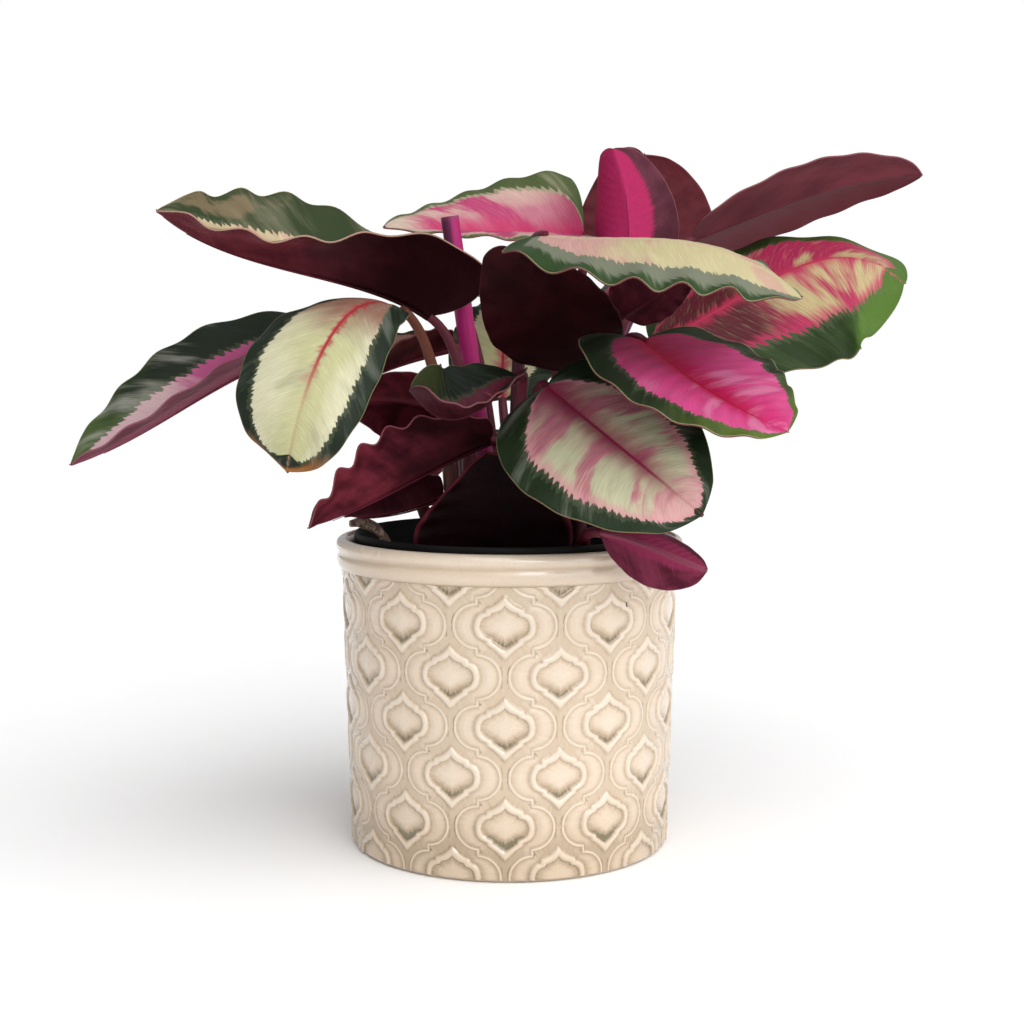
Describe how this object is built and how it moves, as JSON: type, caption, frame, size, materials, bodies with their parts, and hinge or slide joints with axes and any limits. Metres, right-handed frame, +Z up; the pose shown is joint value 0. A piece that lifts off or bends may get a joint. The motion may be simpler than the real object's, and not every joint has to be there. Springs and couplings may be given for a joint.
{
  "type": "potted prayer plant",
  "caption": "Prayer plant with pink, green and maroon leaves in a nursery pot of soil, standing in a round glazed cover pot with a raised ogee pattern and a flat base.",
  "frame": {"origin": "centre of the cover pot's flat base, on the surface that it stands on", "axes": "+Z up, -Y towards the front as in the picture, +X to the right"},
  "size_m": [0.3486, 0.2626, 0.2859],
  "materials": {
    "glaze": "satin gloss cream glaze, pooled darker in the hollows, finely crazed",
    "nursery_plastic": "thin black moulded plastic",
    "soil": "loose peat and bark",
    "leaf_maroon": "satin maroon underside",
    "leaf_pink": "pink middle, dark green margin",
    "leaf_green": "dark green with paler bands",
    "leaf_cream": "cream-green middle, dark green margin",
    "stem": "fleshy magenta",
    "dry_stalk": "withered, papery"
  },
  "bodies": {
    "root": {"cover_pot": "glaze", "nursery_pot": "nursery_plastic", "soil": "soil", "leaf_01_long_left": "leaf_maroon", "leaf_02_drooping_left": "leaf_cream", "leaf_03_far_left": "leaf_green", "leaf_04_high_back_left": "leaf_pink", "leaf_05_wavy_front": "leaf_cream", "leaf_06_dark_centre": "leaf_maroon", "leaf_07_small_dark": "leaf_maroon", "leaf_08_rolled_top": "leaf_pink", "leaf_09_dark_top": "leaf_maroon", "leaf_10_far_right": "leaf_maroon", "leaf_11_broad_right": "leaf_pink", "leaf_12_front_right": "leaf_pink", "leaf_13_front_middle": "leaf_pink", "leaf_14_small_front": "leaf_green", "leaf_15_folded_low_left": "leaf_maroon", "leaf_16_folded_by_rim": "leaf_maroon", "leaf_17_dark_upright": "leaf_maroon", "leaf_18_over_rim": "leaf_maroon", "leaf_19_inner_left": "leaf_maroon", "leaf_20_inner_low_left": "leaf_maroon", "leaf_21_back_left": "leaf_pink", "leaf_22_back_middle": "leaf_green", "leaf_23_back_right": "leaf_pink", "leaf_24_low_back_left": "leaf_green", "leaf_25_low_back_right": "leaf_green", "leaf_26_back_inner": "leaf_green", "cut_stem": "stem", "dry_stalk": "dry_stalk"}
  },
  "joints": []
}
